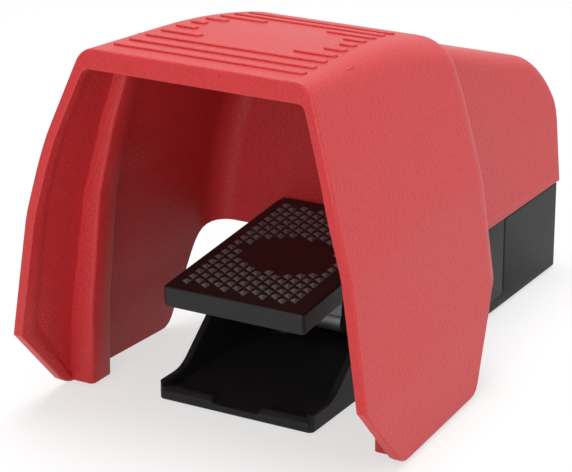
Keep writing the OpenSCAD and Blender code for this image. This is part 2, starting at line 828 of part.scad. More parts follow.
module contact_block() {
    inner_w = block_w - 2 * block_wall;
    color("#e8e6df") in_place() difference() {
        union() {
            translate([-block_w / 2, block_y, block_z]) cube([block_w, block_l, block_h]);
            block_ears(block_w / 2 - 1, ear_w + 1);
        }
        translate([-inner_w / 2, block_y + block_end, block_z + block_floor])
            cube([inner_w, block_l - 2 * block_end, block_h]);
        rod_along_y(0, block_y - 1, rod_z, plunger_r + running, block_end + 2);
        block_screw_places() translate([0, 0, block_z - 1]) cylinder(r = block_screw_r + 0.2, h = ear_t + 2);
        terminal_places() translate([0, 0, block_top - 8]) cylinder(r = terminal_r + running, h = 9);
    }
}

module contact_block_lid() {
    color("#cfcdc6") in_place() difference() {
        translate([-block_w / 2, block_y, block_top]) cube([block_w, block_l, lid_t]);
        both_sides() for (y = [closed_strip_y, open_strip_y])
            translate([strip_x - strip_t - 0.2, y - 0.2, block_top - 1])
                cube([strip_t + 0.4, strip_w + 0.4, lid_t + 2]);
        terminal_places() translate([0, 0, block_top - 1]) cylinder(r = terminal_r + 0.2, h = lid_t + 2);
    }
}

closed_strip_y = closed_y - tip_t - strip_w;
open_strip_y = open_y + bridge_t + travel + seat + tip_t;

module terminal_places() {
    both_sides() for (y = [closed_strip_y, open_strip_y]) translate([terminal_x, y + strip_w / 2, 0]) children();
}

module block_screws() {
    color("silver") in_place() block_screw_places() translate([0, 0, block_z + ear_t]) mirror([0, 0, 1])
        screw(block_screw_r, block_z + ear_t - base_z - 2.4, 2.8, 2);
}

// Fixed contact on both sides: a riser, a tab under the terminal screw, and a foot that carries the silver tip.
// The tip points to +Y when side is 1 and to -Y when it is -1.
module fixed_contacts(y, side) {
    foot_y = side > 0 ? y + strip_w - strip_t : y;
    tip_y = side > 0 ? y + strip_w : y - tip_t;
    tab_z = block_top + lid_t;
    foot_x = tip_x - tip_r;
    both_sides() difference() {
        union() {
            translate([strip_x - strip_t, y, rod_z - strip_foot_h / 2])
                cube([strip_t, strip_w, tab_z + strip_t - rod_z + strip_foot_h / 2]);
            translate([foot_x, foot_y, rod_z - strip_foot_h / 2]) cube([strip_x - foot_x, strip_t, strip_foot_h]);
            translate([strip_x - strip_t, y, tab_z])
                cube([terminal_x + clamp_w / 2 - strip_x + strip_t, strip_w, strip_t]);
            rod_along_y(tip_x, tip_y, rod_z, tip_r, tip_t);
        }
        translate([terminal_x, y + strip_w / 2, tab_z - 1]) cylinder(r = terminal_r + 0.1, h = 4);
    }
}

module closed_contacts() { color("goldenrod") in_place() fixed_contacts(closed_strip_y, 1); }

module open_contacts() { color("goldenrod") in_place() fixed_contacts(open_strip_y, -1); }

module terminal_clamps() {
    color("silver") in_place() terminal_places() translate([0, 0, block_top + lid_t + strip_t]) difference() {
        translate([-clamp_w / 2, -clamp_w / 2, 0]) cube([clamp_w, clamp_w, 1]);
        translate([0, 0, -1]) cylinder(r = terminal_r + 0.1, h = 3);
    }
}

module terminal_screws() {
    color("silver") in_place() terminal_places() translate([0, 0, block_top + lid_t + strip_t + 1])
        mirror([0, 0, 1]) screw(terminal_r, terminal_screw_l, 2.6, 2);
}

// Carrier with a window for each bridge and its spring
window_h = bridge_h + 0.2;
spring_gap = 5;

module contact_carrier() {
    bar_y = block_y + block_end + 1;
    color("#b03a2e") in_place() difference() {
        union() {
            rod_along_y(0, block_y - stick_out, rod_z, plunger_r, bar_y - block_y + stick_out + 1);
            translate([-bar_w / 2, bar_y, rod_z - bar_h / 2]) cube([bar_w, open_y + 3 - bar_y, bar_h]);
        }
        translate([-bar_w, closed_y - seat, rod_z - window_h / 2])
            cube([2 * bar_w, bridge_t + spring_gap, window_h]);
        translate([-bar_w, open_y + bridge_t + seat - bridge_t - spring_gap, rod_z - window_h / 2])
            cube([2 * bar_w, bridge_t + spring_gap, window_h]);
    }
}

module bridge(y) {
    color("goldenrod") in_place()
        translate([-bridge_w / 2, y, rod_z - bridge_h / 2]) cube([bridge_w, bridge_t, bridge_h]);
}

module closed_bridge() { bridge(closed_y); }

module open_bridge() { bridge(open_y); }

module bridge_springs() {
    color("silver") in_place() {
        coil(0, closed_y + bridge_t, rod_z, 1.1, 0.4, spring_gap - seat, 4, 10, 5);
        coil(0, open_y - spring_gap + seat, rod_z, 1.1, 0.4, spring_gap - seat, 4, 10, 5);
    }
}

base_housing();
guard_hood();
rear_cover();
cover_gasket();
guard_screws();
guard_washers();
cover_screws();
rubber_feet();
floor_inserts();
blanking_plug();
plug_seal();
rod_seal();
pivot_pin();
pin_clips();
stop_pad();
contact_block();
contact_block_lid();
block_screws();
closed_contacts();
open_contacts();
terminal_clamps();
terminal_screws();
return_spring();
pedal();
pivot_bushes();
lever_arm();
arm_screws();
push_rod();
rod_clip();
contact_carrier();
closed_bridge();
open_bridge();
bridge_springs();
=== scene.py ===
# %% [markdown]
# # A guarded industrial foot switch
# The real object is a black moulded base with a hinged, studded pedal, and a red moulded hood that keeps a
# dropped tool or a stray foot off it. The frame of measured solids is loaded first, and every piece below is
# fitted to it.

# %% Load the frame and keep its box
import json
import math

import bmesh
import bpy
from mathutils import Matrix, Vector


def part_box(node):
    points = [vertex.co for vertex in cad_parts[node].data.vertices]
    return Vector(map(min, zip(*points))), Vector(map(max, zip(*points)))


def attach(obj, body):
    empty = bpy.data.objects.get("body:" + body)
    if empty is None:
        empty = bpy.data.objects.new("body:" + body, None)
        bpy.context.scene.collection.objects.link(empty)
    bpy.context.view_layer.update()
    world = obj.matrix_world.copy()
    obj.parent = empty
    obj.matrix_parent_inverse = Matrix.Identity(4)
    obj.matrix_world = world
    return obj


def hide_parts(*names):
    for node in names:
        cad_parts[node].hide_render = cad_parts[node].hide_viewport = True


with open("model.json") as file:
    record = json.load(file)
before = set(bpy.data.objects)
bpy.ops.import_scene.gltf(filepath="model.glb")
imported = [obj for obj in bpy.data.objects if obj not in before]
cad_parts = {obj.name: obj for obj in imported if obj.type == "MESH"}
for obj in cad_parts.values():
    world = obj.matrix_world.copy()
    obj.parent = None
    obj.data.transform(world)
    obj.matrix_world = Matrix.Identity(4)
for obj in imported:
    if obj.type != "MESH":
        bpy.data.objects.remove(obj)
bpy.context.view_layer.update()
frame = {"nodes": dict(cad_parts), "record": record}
NODES = frame["nodes"]
MM = 0.001
TOE_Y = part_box("base_housing")[0].y  # the front edge of the base, from which lengths are counted


def at(x, y, z):
    """A point in millimetres, with y counted from the front edge of the base."""
    return Vector((x * MM, TOE_Y + y * MM, z * MM))


# %% [markdown]
# ## Camera, lamps and floor
# A long lens from a step back keeps the wings nearly parallel. The three lamps are large and soft: one
# above, a weaker one from the right, and one from the front that reaches under the hood. A dim room, lighter
# above and on the right, fills the shadows. Only the background shows as white, so red and black render about
# as they are written.

# %% Camera
scene = bpy.context.scene
scene.view_settings.view_transform = "Standard"
AZIMUTH, ELEVATION = math.radians(29.556), math.radians(20.259)
LENS_MM, SENSOR_MM = 154.0, 36.0
CAMERA_PLACE = (0.46109, -0.86422, 0.40963)
camera_data = bpy.data.cameras.new("camera")
camera_data.lens, camera_data.sensor_width = LENS_MM, SENSOR_MM
camera = bpy.data.objects.new("camera", camera_data)
scene.collection.objects.link(camera)
camera.location = CAMERA_PLACE
level = math.cos(ELEVATION)
towards = Vector((-math.sin(AZIMUTH) * level, math.cos(AZIMUTH) * level, -math.sin(ELEVATION)))
camera.rotation_euler = towards.to_track_quat("-Z", "Y").to_euler()
scene.camera = camera
print("camera:", [round(c, 3) for c in CAMERA_PLACE], "m, lens", LENS_MM, "mm")


# %% Lamps
def area_lamp(name, place, target, size, power):
    """A round white lamp, size in metres and power in watts, turned to its target."""
    data = bpy.data.lights.new(name, "AREA")
    data.shape, data.size, data.energy = "DISK", size, power
    lamp = bpy.data.objects.new(name, data)
    scene.collection.objects.link(lamp)
    lamp.location = place
    lamp.rotation_euler = (Vector(target) - Vector(place)).to_track_quat("-Z", "Y").to_euler()
    print(name, power, "W")


area_lamp("lamp_top", (-0.1, 0.1, 1.3), (0, 0, 0.08), 0.9, 12)
area_lamp("lamp_right", (1.3, -0.2, 0.75), (0, 0, 0.07), 0.9, 4.0)
area_lamp("lamp_front", (0.3, -1.3, 0.5), (0, 0, 0.08), 0.7, 6)

# %% Room
room = bpy.data.worlds.new("room")
scene.world = room
room.use_nodes = True
room_nodes, room_links = room.node_tree.nodes, room.node_tree.links
room_nodes.clear()


def white_rays(nodes, links):
    """1 for rays that show the background: from the camera, off gloss and through glass."""
    path = nodes.new("ShaderNodeLightPath")
    found = path.outputs["Is Camera Ray"]
    for label in ("Is Glossy Ray", "Is Transmission Ray"):
        either = nodes.new("ShaderNodeMath")
        either.operation = "MAXIMUM"
        links.new(found, either.inputs[0])
        links.new(path.outputs[label], either.inputs[1])
        found = either.outputs[0]
    return found


seen = room_nodes.new("ShaderNodeBackground")
seen.inputs["Color"].default_value, seen.inputs["Strength"].default_value = (1, 1, 1, 1), 1.0
lit = room_nodes.new("ShaderNodeBackground")
lit.inputs["Color"].default_value = (1, 1, 1, 1)
sky = room_nodes.new("ShaderNodeTexCoord")
sky_axes = room_nodes.new("ShaderNodeSeparateXYZ")
room_links.new(sky.outputs["Generated"], sky_axes.inputs[0])


def sky_band(axis, low, high, dim, bright):
    """Strength that grows from dim to bright as the direction's axis goes from low to high."""
    band = room_nodes.new("ShaderNodeMapRange")
    band.interpolation_type = "SMOOTHSTEP"
    for label, value in zip(("From Min", "From Max", "To Min", "To Max"), (low, high, dim, bright)):
        band.inputs[label].default_value = value
    room_links.new(sky_axes.outputs[axis], band.inputs["Value"])
    return band


sky_sum = room_nodes.new("ShaderNodeMath")
sky_sum.operation = "ADD"
room_links.new(sky_band("Z", 0.0, 0.8, 0.08, 0.5).outputs["Result"], sky_sum.inputs[0])
room_links.new(sky_band("X", 0.1, 0.9, 0.0, 0.25).outputs["Result"], sky_sum.inputs[1])
room_links.new(sky_sum.outputs[0], lit.inputs["Strength"])
room_mix = room_nodes.new("ShaderNodeMixShader")
room_out = room_nodes.new("ShaderNodeOutputWorld")
room_links.new(white_rays(room_nodes, room_links), room_mix.inputs["Fac"])
room_links.new(lit.outputs[0], room_mix.inputs[1])
room_links.new(seen.outputs[0], room_mix.inputs[2])
room_links.new(room_mix.outputs[0], room_out.inputs["Surface"])


# %% [markdown]
# ## Materials
# Two effects come back on several finishes, so each is a shader group: the fine pebble grain that a
# spark-eroded mould leaves on plastic, with painted shade in its pits, and the slight change of tone that
# handling and dust give a large face.

# %% Empty shader group
def shader_group(name, inputs, outputs):
    group = bpy.data.node_groups.new(name, "ShaderNodeTree")
    for label, kind, value in inputs:
        socket = group.interface.new_socket(label, in_out="INPUT", socket_type=kind)
        socket.default_value = value
    for label, kind in outputs:
        group.interface.new_socket(label, in_out="OUTPUT", socket_type=kind)
    return group, group.nodes.new("NodeGroupInput"), group.nodes.new("NodeGroupOutput")


# %% Pebble grain
def make_grain():
    """Pebble grain: rounded bumps of two sizes, as a height, and a mask that puts painted shade in their
    pits.
    """
    group, source, result = shader_group(
        "pebble_grain",
        [("Vector", "NodeSocketVector", (0, 0, 0)), ("Scale", "NodeSocketFloat", 1200.0)],
        [("Height", "NodeSocketFloat"), ("Grain shade", "NodeSocketFloat")])
    n, l = group.nodes, group.links
    cells = n.new("ShaderNodeTexVoronoi")
    cells.feature = "SMOOTH_F1"
    cells.inputs["Smoothness"].default_value = 0.6
    fine = n.new("ShaderNodeTexNoise")
    fine.inputs["Detail"].default_value = 3.0
    twice = n.new("ShaderNodeMath")
    twice.operation = "MULTIPLY"
    twice.inputs[1].default_value = 0.7
    l.new(source.outputs["Vector"], cells.inputs["Vector"])
    l.new(source.outputs["Scale"], cells.inputs["Scale"])
    l.new(source.outputs["Vector"], fine.inputs["Vector"])
    l.new(source.outputs["Scale"], twice.inputs[0])
    l.new(twice.outputs[0], fine.inputs["Scale"])
    height = n.new("ShaderNodeMath")
    height.operation = "SUBTRACT"
    l.new(fine.outputs["Fac"], height.inputs[0])
    l.new(cells.outputs["Distance"], height.inputs[1])
    # mask for the painted shade: 0 in the grain's pits, 1 on the bumps
    grain_shade = n.new("ShaderNodeMapRange")
    grain_shade.inputs["From Min"].default_value, grain_shade.inputs["From Max"].default_value = -0.35, 0.35
    l.new(height.outputs[0], grain_shade.inputs["Value"])
    l.new(height.outputs[0], result.inputs["Height"])
    l.new(grain_shade.outputs["Result"], result.inputs["Grain shade"])
    return group


# %% Handling and dust
def make_handling():
    """A broad, faint change of tone, and faint dust that settles on faces that look up."""
    group, source, result = shader_group(
        "handling",
        [("Vector", "NodeSocketVector", (0, 0, 0)), ("Scale", "NodeSocketFloat", 14.0),
         ("Dust", "NodeSocketFloat", 0.1)],
        [("Tone", "NodeSocketFloat"), ("Dust", "NodeSocketFloat")])
    n, l = group.nodes, group.links
    broad = n.new("ShaderNodeTexNoise")
    broad.inputs["Detail"].default_value = 4.0
    l.new(source.outputs["Vector"], broad.inputs["Vector"])
    l.new(source.outputs["Scale"], broad.inputs["Scale"])
    geometry = n.new("ShaderNodeNewGeometry")
    split = n.new("ShaderNodeSeparateXYZ")
    l.new(geometry.outputs["Normal"], split.inputs[0])
    upward = n.new("ShaderNodeMapRange")
    upward.inputs["From Min"].default_value, upward.inputs["From Max"].default_value = 0.55, 1.0
    l.new(split.outputs["Z"], upward.inputs["Value"])
    speck = n.new("ShaderNodeTexNoise")
    speck.inputs["Scale"].default_value = 900.0
    speck.inputs["Detail"].default_value = 2.0
    l.new(source.outputs["Vector"], speck.inputs["Vector"])
    settled = n.new("ShaderNodeMath")
    settled.operation = "MULTIPLY"
    l.new(upward.outputs["Result"], settled.inputs[0])
    l.new(speck.outputs["Fac"], settled.inputs[1])
    amount = n.new("ShaderNodeMath")
    amount.operation = "MULTIPLY"
    l.new(settled.outputs[0], amount.inputs[0])
    l.new(source.outputs["Dust"], amount.inputs[1])
    l.new(broad.outputs["Fac"], result.inputs["Tone"])
    l.new(amount.outputs[0], result.inputs["Dust"])
    return group


GRAIN, HANDLING = make_grain(), make_handling()


# %% Moulded plastic and rubber
def moulded(name, color, dark, roughness, grain, depth, dust, specular=0.5):
    """A satin moulding: two near tones, a grain with a scale per metre and a depth in metres, and dust."""
    material = bpy.data.materials.new(name)
    material.use_nodes = True
    n, l = material.node_tree.nodes, material.node_tree.links
    shader = n["Principled BSDF"]
    shader.inputs["Specular IOR Level"].default_value = specular
    place = n.new("ShaderNodeTexCoord")
    pebbles = n.new("ShaderNodeGroup")
    pebbles.node_tree = GRAIN
    pebbles.inputs["Scale"].default_value = grain
    wear = n.new("ShaderNodeGroup")
    wear.node_tree = HANDLING
    wear.inputs["Dust"].default_value = dust
    l.new(place.outputs["Object"], pebbles.inputs["Vector"])
    l.new(place.outputs["Object"], wear.inputs["Vector"])
    tone = n.new("ShaderNodeMix")
    tone.data_type = "RGBA"
    tone.inputs["A"].default_value, tone.inputs["B"].default_value = (*dark, 1), (*color, 1)
    l.new(wear.outputs["Tone"], tone.inputs["Factor"])
    # painted shade: the colour is darkened by up to 16 per cent in the grain's pits
    grain_shade = n.new("ShaderNodeMix")
    grain_shade.data_type = "RGBA"
    grain_shade.blend_type = "MULTIPLY"
    grain_shade.inputs["Factor"].default_value = 0.16
    l.new(tone.outputs["Result"], grain_shade.inputs["A"])
    l.new(pebbles.outputs["Grain shade"], grain_shade.inputs["B"])
    dusty = n.new("ShaderNodeMix")
    dusty.data_type = "RGBA"
    dusty.inputs["B"].default_value = (0.62, 0.58, 0.54, 1)
    l.new(wear.outputs["Dust"], dusty.inputs["Factor"])
    l.new(grain_shade.outputs["Result"], dusty.inputs["A"])
    l.new(dusty.outputs["Result"], shader.inputs["Base Color"])
    dull = n.new("ShaderNodeMapRange")
    dull.inputs["To Min"].default_value = roughness - 0.06
    dull.inputs["To Max"].default_value = roughness + 0.08
    l.new(wear.outputs["Tone"], dull.inputs["Value"])
    l.new(dull.outputs["Result"], shader.inputs["Roughness"])
    bump = n.new("ShaderNodeBump")
    bump.inputs["Strength"].default_value = 0.5
    bump.inputs["Distance"].default_value = depth
    l.new(pebbles.outputs["Height"], bump.inputs["Height"])
    l.new(bump.outputs["Normal"], shader.inputs["Normal"])
    return material


# %% Metal
def metal(name, color, roughness, streak=60.0):
    """Bare or plated metal with faint drawn streaks and a mottled polish."""
    material = bpy.data.materials.new(name)
    material.use_nodes = True
    n, l = material.node_tree.nodes, material.node_tree.links
    shader = n["Principled BSDF"]
    shader.inputs["Metallic"].default_value = 1.0
    place = n.new("ShaderNodeTexCoord")
    stretch = n.new("ShaderNodeMapping")
    stretch.inputs["Scale"].default_value = (streak * 20, streak, streak * 20)
    noise = n.new("ShaderNodeTexNoise")
    noise.inputs["Scale"].default_value = 1.0
    noise.inputs["Detail"].default_value = 5.0
    l.new(place.outputs["Object"], stretch.inputs["Vector"])
    l.new(stretch.outputs["Vector"], noise.inputs["Vector"])
    tone = n.new("ShaderNodeMix")
    tone.data_type = "RGBA"
    tone.inputs["A"].default_value = (*[c * 0.72 for c in color], 1)
    tone.inputs["B"].default_value = (*color, 1)
    l.new(noise.outputs["Fac"], tone.inputs["Factor"])
    l.new(tone.outputs["Result"], shader.inputs["Base Color"])
    polish = n.new("ShaderNodeMapRange")
    polish.inputs["To Min"].default_value = roughness - 0.08
    polish.inputs["To Max"].default_value = roughness + 0.14
    l.new(noise.outputs["Fac"], polish.inputs["Value"])
    l.new(polish.outputs["Result"], shader.inputs["Roughness"])
    bump = n.new("ShaderNodeBump")
    bump.inputs["Strength"].default_value = 0.15
    bump.inputs["Distance"].default_value = 0.00004
    l.new(noise.outputs["Fac"], bump.inputs["Height"])
    l.new(bump.outputs["Normal"], shader.inputs["Normal"])
    return material


# %% The finishes
RED = moulded("red_plastic", (0.60, 0.030, 0.034), (0.55, 0.025, 0.029),
              roughness=0.44, grain=1100.0, depth=0.00030, dust=0.03, specular=0.4)
BLACK = moulded("black_plastic", (0.016, 0.016, 0.017), (0.011, 0.011, 0.012),
                roughness=0.5, grain=1500.0, depth=0.00014, dust=0.01, specular=0.2)
PEDAL_BLACK = moulded("pedal_plastic", (0.015, 0.0145, 0.015), (0.010, 0.0095, 0.010),
                      roughness=0.42, grain=1700.0, depth=0.00008, dust=0.01, specular=0.3)
STUD_GREY = moulded("pedal_plastic_grey", (0.17, 0.168, 0.165), (0.11, 0.108, 0.106),
                     roughness=0.5, grain=1700.0, depth=0.00008, dust=0.03)
RUBBER = moulded("seal_rubber", (0.022, 0.022, 0.022), (0.014, 0.014, 0.014),
                 roughness=0.72, grain=2600.0, depth=0.00008, dust=0.05, specular=0.3)
FOOT_RUBBER = moulded("foot_rubber", (0.030, 0.030, 0.030), (0.020, 0.020, 0.020),
                      roughness=0.78, grain=2300.0, depth=0.00012, dust=0.05, specular=0.3)
CREAM = moulded("cream_plastic", (0.72, 0.67, 0.54), (0.66, 0.61, 0.48),
                roughness=0.38, grain=2400.0, depth=0.00004, dust=0.03)
GREY = moulded("grey_plastic", (0.44, 0.44, 0.41), (0.38, 0.38, 0.35),
               roughness=0.42, grain=2400.0, depth=0.00005, dust=0.03)
BUSH = moulded("bush_plastic", (0.62, 0.56, 0.40), (0.55, 0.49, 0.34),
               roughness=0.5, grain=2400.0, depth=0.00004, dust=0.02)
CARRIER = moulded("carrier_plastic", (0.34, 0.04, 0.03), (0.28, 0.03, 0.025),
                  roughness=0.4, grain=2400.0, depth=0.00004, dust=0.02)
ZINC = metal("zinc_steel", (0.66, 0.67, 0.68), 0.34)
BRIGHT = metal("bright_steel", (0.72, 0.72, 0.73), 0.24)
SPRING = metal("spring_steel", (0.50, 0.51, 0.53), 0.3)
BRASS = metal("brass", (0.72, 0.55, 0.26), 0.3)
CONTACT = metal("contact_brass", (0.78, 0.60, 0.32), 0.26)
CAST = metal("cast_metal", (0.40, 0.41, 0.43), 0.5, 400.0)
FINISH = {"black_plastic": BLACK, "pedal_plastic": PEDAL_BLACK, "red_plastic": RED, "seal_rubber": RUBBER,
          "foot_rubber": FOOT_RUBBER, "zinc_steel": ZINC, "bright_steel": BRIGHT, "spring_steel": SPRING,
          "brass": BRASS, "contact_brass": CONTACT, "cast_metal": CAST, "cream_plastic": CREAM,
          "grey_plastic": GREY, "bush_plastic": BUSH, "carrier_plastic": CARRIER}
print("finishes:", len(FINISH))

# %% [markdown]
# ## Floor
# A wide pale sheet under the object. To the camera most of it is plain
# white, and the rest carries the object's shadow. To light that falls on the object it is only pale paper.

# %% Floor
floor_mesh = bmesh.new()
bmesh.ops.create_circle(floor_mesh, cap_ends=True, segments=64, radius=6.0)
floor_data = bpy.data.meshes.new("floor")
floor_mesh.to_mesh(floor_data)
floor_mesh.free()
floor = bpy.data.objects.new("floor", floor_data)
scene.collection.objects.link(floor)
paper = bpy.data.materials.new("paper")
paper.use_nodes = True
paper_shader = paper.node_tree.nodes["Principled BSDF"]
paper_shader.inputs["Base Color"].default_value = (0.93, 0.93, 0.93, 1)
paper_shader.inputs["Roughness"].default_value = 0.9
paper_shader.inputs["Specular IOR Level"].default_value = 0.1
paper_nodes, paper_links = paper.node_tree.nodes, paper.node_tree.links
glow = paper_nodes.new("ShaderNodeEmission")
glow.inputs["Strength"].default_value = 1.0
shaded = paper_nodes.new("ShaderNodeMixShader")
shaded.inputs["Fac"].default_value = 0.62  # share of the plain white
paper_links.new(paper_shader.outputs[0], shaded.inputs[1])
paper_links.new(glow.outputs[0], shaded.inputs[2])
paper_mix = paper_nodes.new("ShaderNodeMixShader")
paper_links.new(white_rays(paper_nodes, paper_links), paper_mix.inputs["Fac"])
paper_links.new(paper_shader.outputs[0], paper_mix.inputs[1])
paper_links.new(shaded.outputs[0], paper_mix.inputs[2])
paper_links.new(paper_mix.outputs[0], paper_nodes["Material Output"].inputs["Surface"])
floor_data.materials.append(paper)
print("floor:", len(floor_data.vertices), "corners")


# %% [markdown]
# ## The small carried-over solids
# Screws, washers, springs and contacts already have their true shape, so they keep it and only get their
# finish. The frame's record says which material slot each of them has.

# %% Finish for every solid from the frame
SLOT_OF = {row["node"]: row["material_slot"] for row in frame["record"]["subparts"]}
for name, node in NODES.items():
    node.data.materials.clear()
    node.data.materials.append(FINISH[SLOT_OF[name]])
print("solids:", len(NODES))


# %% [markdown]
# ## Helpers for making pieces
# A lofted moulding is a row of rings, each bridged to the one before it. A carried-over solid whose edges
# need to be softened is copied, its loose triangles are merged into whole faces, and its sharp edges are
# bevelled.

# %% Lofting
def loft(bm, rings, closed=False):
    """Bridges each ring of points to the next. Returns the rings' vertices."""
    made, before = [], None
    for ring in rings:
        verts = [bm.verts.new(p) for p in ring]
        following = verts[1:] + (verts[:1] if closed else [])
        edges = [bm.edges.new((a, b)) for a, b in zip(verts, following)]
        if before:
            bmesh.ops.bridge_loops(bm, edges=before + edges)
        made.append(verts)
        before = edges
    return made


# %% Finishing and softening
def finish_piece(bm, name, body, slot, stands_for, sharp):
    """Makes the piece, smooth except at edges of more than sharp degrees, and says what it belongs to."""
    mesh = bpy.data.meshes.new(name)
    bm.to_mesh(mesh)
    bm.free()
    for face in mesh.polygons:
        face.use_smooth = True
    mesh.set_sharp_from_angle(angle=math.radians(sharp))
    piece = bpy.data.objects.new(name, mesh)
    scene.collection.objects.link(piece)
    mesh.materials.append(FINISH[slot])
    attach(piece, body)
    if stands_for:
        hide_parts(*stands_for)
    print(name, len(mesh.polygons), "faces")
    return piece


def bevel_modifier(piece, width, segments):
    bevel = piece.modifiers.new("soft_edges", "BEVEL")
    bevel.width, bevel.segments = width * MM, segments
    bevel.use_clamp_overlap = False
    return bevel


def whole_faces(node):
    """A copy of a solid's mesh with its triangles merged into whole faces."""
    bm = bmesh.new()
    bm.from_mesh(NODES[node].data)
    bmesh.ops.remove_doubles(bm, verts=bm.verts, dist=2e-6)
    bmesh.ops.dissolve_limit(bm, angle_limit=math.radians(0.4), verts=bm.verts, edges=bm.edges)
    return bm


def softened(node, name, body, width):
    """A copy of a solid whose edges of more than 40 degrees are rounded."""
    piece = finish_piece(whole_faces(node), name, body, SLOT_OF[node], (node,), 30)
    bevel = bevel_modifier(piece, width, 2)
    bevel.limit_method, bevel.angle_limit = "ANGLE", math.radians(40)
    bevel.miter_outer = "MITER_ARC"
    return piece


# %% [markdown]
# ## The guard hood
# The hood is one thin moulding: two wings that lean in as they rise, a roof that falls to the rear, and a
# back wall with large roundings. Its front edge leans back and carries a bead inside and a deeper brow under
# the roof. It is built as an outer and an inner skin, each a loft of rings from front to back, bridged at the
# rim.

# %% The hood's measured form, in millimetres
HALF_W, OVERHANG, TOE_IN = 80.0, 38.3, 0.055  # half width and reach at the nose, and the draw-in to the rear
NOSE_Z, NOSE_SLOPE = 34.0, 1.07  # below this height the front edge runs back to the toe
RAKE, BROW_Z, BROW_RAKE, BROW_BEND = 0.022, 112.0, 0.19, 10.0  # the front edge leans back more above the brow
# Each bend of the side: its height, the side's slope below and above it, and half the length of its rounding
BENDS = [(NOSE_Z, -0.053, -0.1474, 2.8), (86.0, -0.1474, -0.28, 3.3), (120.0, -0.28, -0.356, 3.5)]
LEAN = -BENDS[-1][2]
ROOF_Z, ROOF_Y, ROOF_FALL, FALL_Y, FALL_R = 155.0, -29.35, 0.0394, 20.0, 327.0  # the fall grows behind FALL_Y
FRONT_R, R_GROWTH, GROWTH_Y = 8.0, 0.074, 9.0  # the roof's side edges get rounder towards the rear
BACK_Y, BACK_R, WALL, BEAD, BROW = 100.7, 14.0, 3.4, 4.4, 8.0
ROUNDING_Y = BACK_Y - BACK_R
WING_Z, WING_REAR_Y, ARCH_Z, ARCH_SLOPE = 1.5, 66.5, 44.0, 1.92  # the wing's foot and the arch behind it
TOE_R, HEEL_R, ARCH_R, FOOT_STEPS = 14, 7, 16, 10
LEVEL = 100.0  # height that parts the lower side from the upper one


def ramp(d, half):
    """A corner of unit bend, rounded over +-half."""
    return 0.0 if d < -half else d if d > half else (d + half) ** 2 / (4 * half)


def side_slope(z):
    slope = BENDS[0][1]
    for height, below, above, half in BENDS:
        slope += (above - below) * min(max((z - height + half) / (2 * half), 0), 1)
    return slope


def side_x(y, z, inset=0.0):
    x = HALF_W + BENDS[0][1] * (z - BENDS[0][0]) - TOE_IN * (y + OVERHANG)
    for height, below, above, half in BENDS:
        x += (above - below) * ramp(z - height, half)
    return x - inset * math.hypot(1, side_slope(z))


def roof_z(y):
    return ROOF_Z - ROOF_FALL * (y - ROOF_Y) - max(y - FALL_Y, 0) ** 2 / (2 * FALL_R)


def front_y(z):
    if z < NOSE_Z:
        return -OVERHANG + (NOSE_Z - z) / NOSE_SLOPE
    return -OVERHANG + (z - NOSE_Z) * RAKE + (BROW_RAKE - RAKE) * ramp(z - BROW_Z, BROW_BEND)


def edge_radius(y):
    return FRONT_R + R_GROWTH * max(y + OVERHANG - GROWTH_Y, 0)


# %% Side view of the wing's foot
def rounded_path(corners, steps):
    """A polyline with its corners (y, z, radius) rounded."""
    path = []
    for i, (y, z, r) in enumerate(corners):
        p = Vector((y, z))
        if r == 0 or i in (0, len(corners) - 1):
            path.append(p)
            continue
        a = (Vector(corners[i - 1][:2]) - p).normalized()
        b = (Vector(corners[i + 1][:2]) - p).normalized()
        half = a.angle(b) / 2
        centre = p + (a + b).normalized() * r / math.sin(half)
        start, stop = p + a * r / math.tan(half) - centre, p + b * r / math.tan(half) - centre
        turn = start.angle_signed(stop)
        path += [centre + Matrix.Rotation(-turn * k / steps, 2) @ start for k in range(steps + 1)]
    return path


def even(path, count):
    """The same path as count + 1 points at even distances."""
    spans = [(b - a).length for a, b in zip(path, path[1:])]
    total, out, i, gone = sum(spans), [], 0, 0.0
    for k in range(count + 1):
        want = total * k / count
        while i < len(spans) - 1 and gone + spans[i] < want:
            gone += spans[i]
            i += 1
        out.append(path[i].lerp(path[i + 1], (want - gone) / spans[i]))
    return out


ARCH_Y = WING_REAR_Y + (ARCH_Z - WING_Z) / ARCH_SLOPE
whole_foot = rounded_path([(-OVERHANG, NOSE_Z, 0), (front_y(WING_Z), WING_Z, TOE_R),
                           (WING_REAR_Y, WING_Z, HEEL_R), (ARCH_Y, ARCH_Z, ARCH_R),
                           (ARCH_Y + 40, ARCH_Z, 0)], FOOT_STEPS)
middle = 1 + FOOT_STEPS // 2  # middle of the toe's rounding


def foot_z(y):
    """Height of the wing's lower edge at y, behind the toe corner."""
    for a, b in zip(whole_foot[middle:], whole_foot[middle + 1:]):
        if y <= b.x:
            return a.y + (b.y - a.y) * max(y - a.x, 0) / (b.x - a.x)
    return ARCH_Z


FOOT = [p for p in whole_foot[middle:] if p.x < ROUNDING_Y] + [Vector((ROUNDING_Y, foot_z(ROUNDING_Y)))]
SLOPE = whole_foot[middle::-1]
print("foot of the wing:", [round(c, 1) for c in FOOT[0]], "to", [round(c, 1) for c in FOOT[-1]])

# %% [markdown]
# A row of the hood is one ring at a share t of the way from the front edge to the back rounding. The rows lie
# close together at the front, where the bead ends. Low down they follow the nose and the toe, and that form
# fades out towards the rear.

# %% Rows of the hood's lower side
BEAD_T = 0.05  # the bead and the brow reach this far back
ROW_T = [0, 0.027, BEAD_T, 0.066, 0.08] + [0.08 + 0.92 * k / 36 for k in range(1, 37)]
SLOPE_STEPS, FRONT_STEPS, FOOT_FINE, FADE = 10, 16, 400, 2.5
front_heights = [NOSE_Z + (LEVEL - NOSE_Z) * k / FRONT_STEPS for k in range(FRONT_STEPS + 1)]
front_line = even([Vector((front_y(z), z)) for z in front_heights], FRONT_STEPS)
LOW_FRONT = even(SLOPE, SLOPE_STEPS) + front_line[1:]
LOW_N = len(LOW_FRONT) - 1
FOOT_ROWS = even(FOOT, FOOT_FINE)


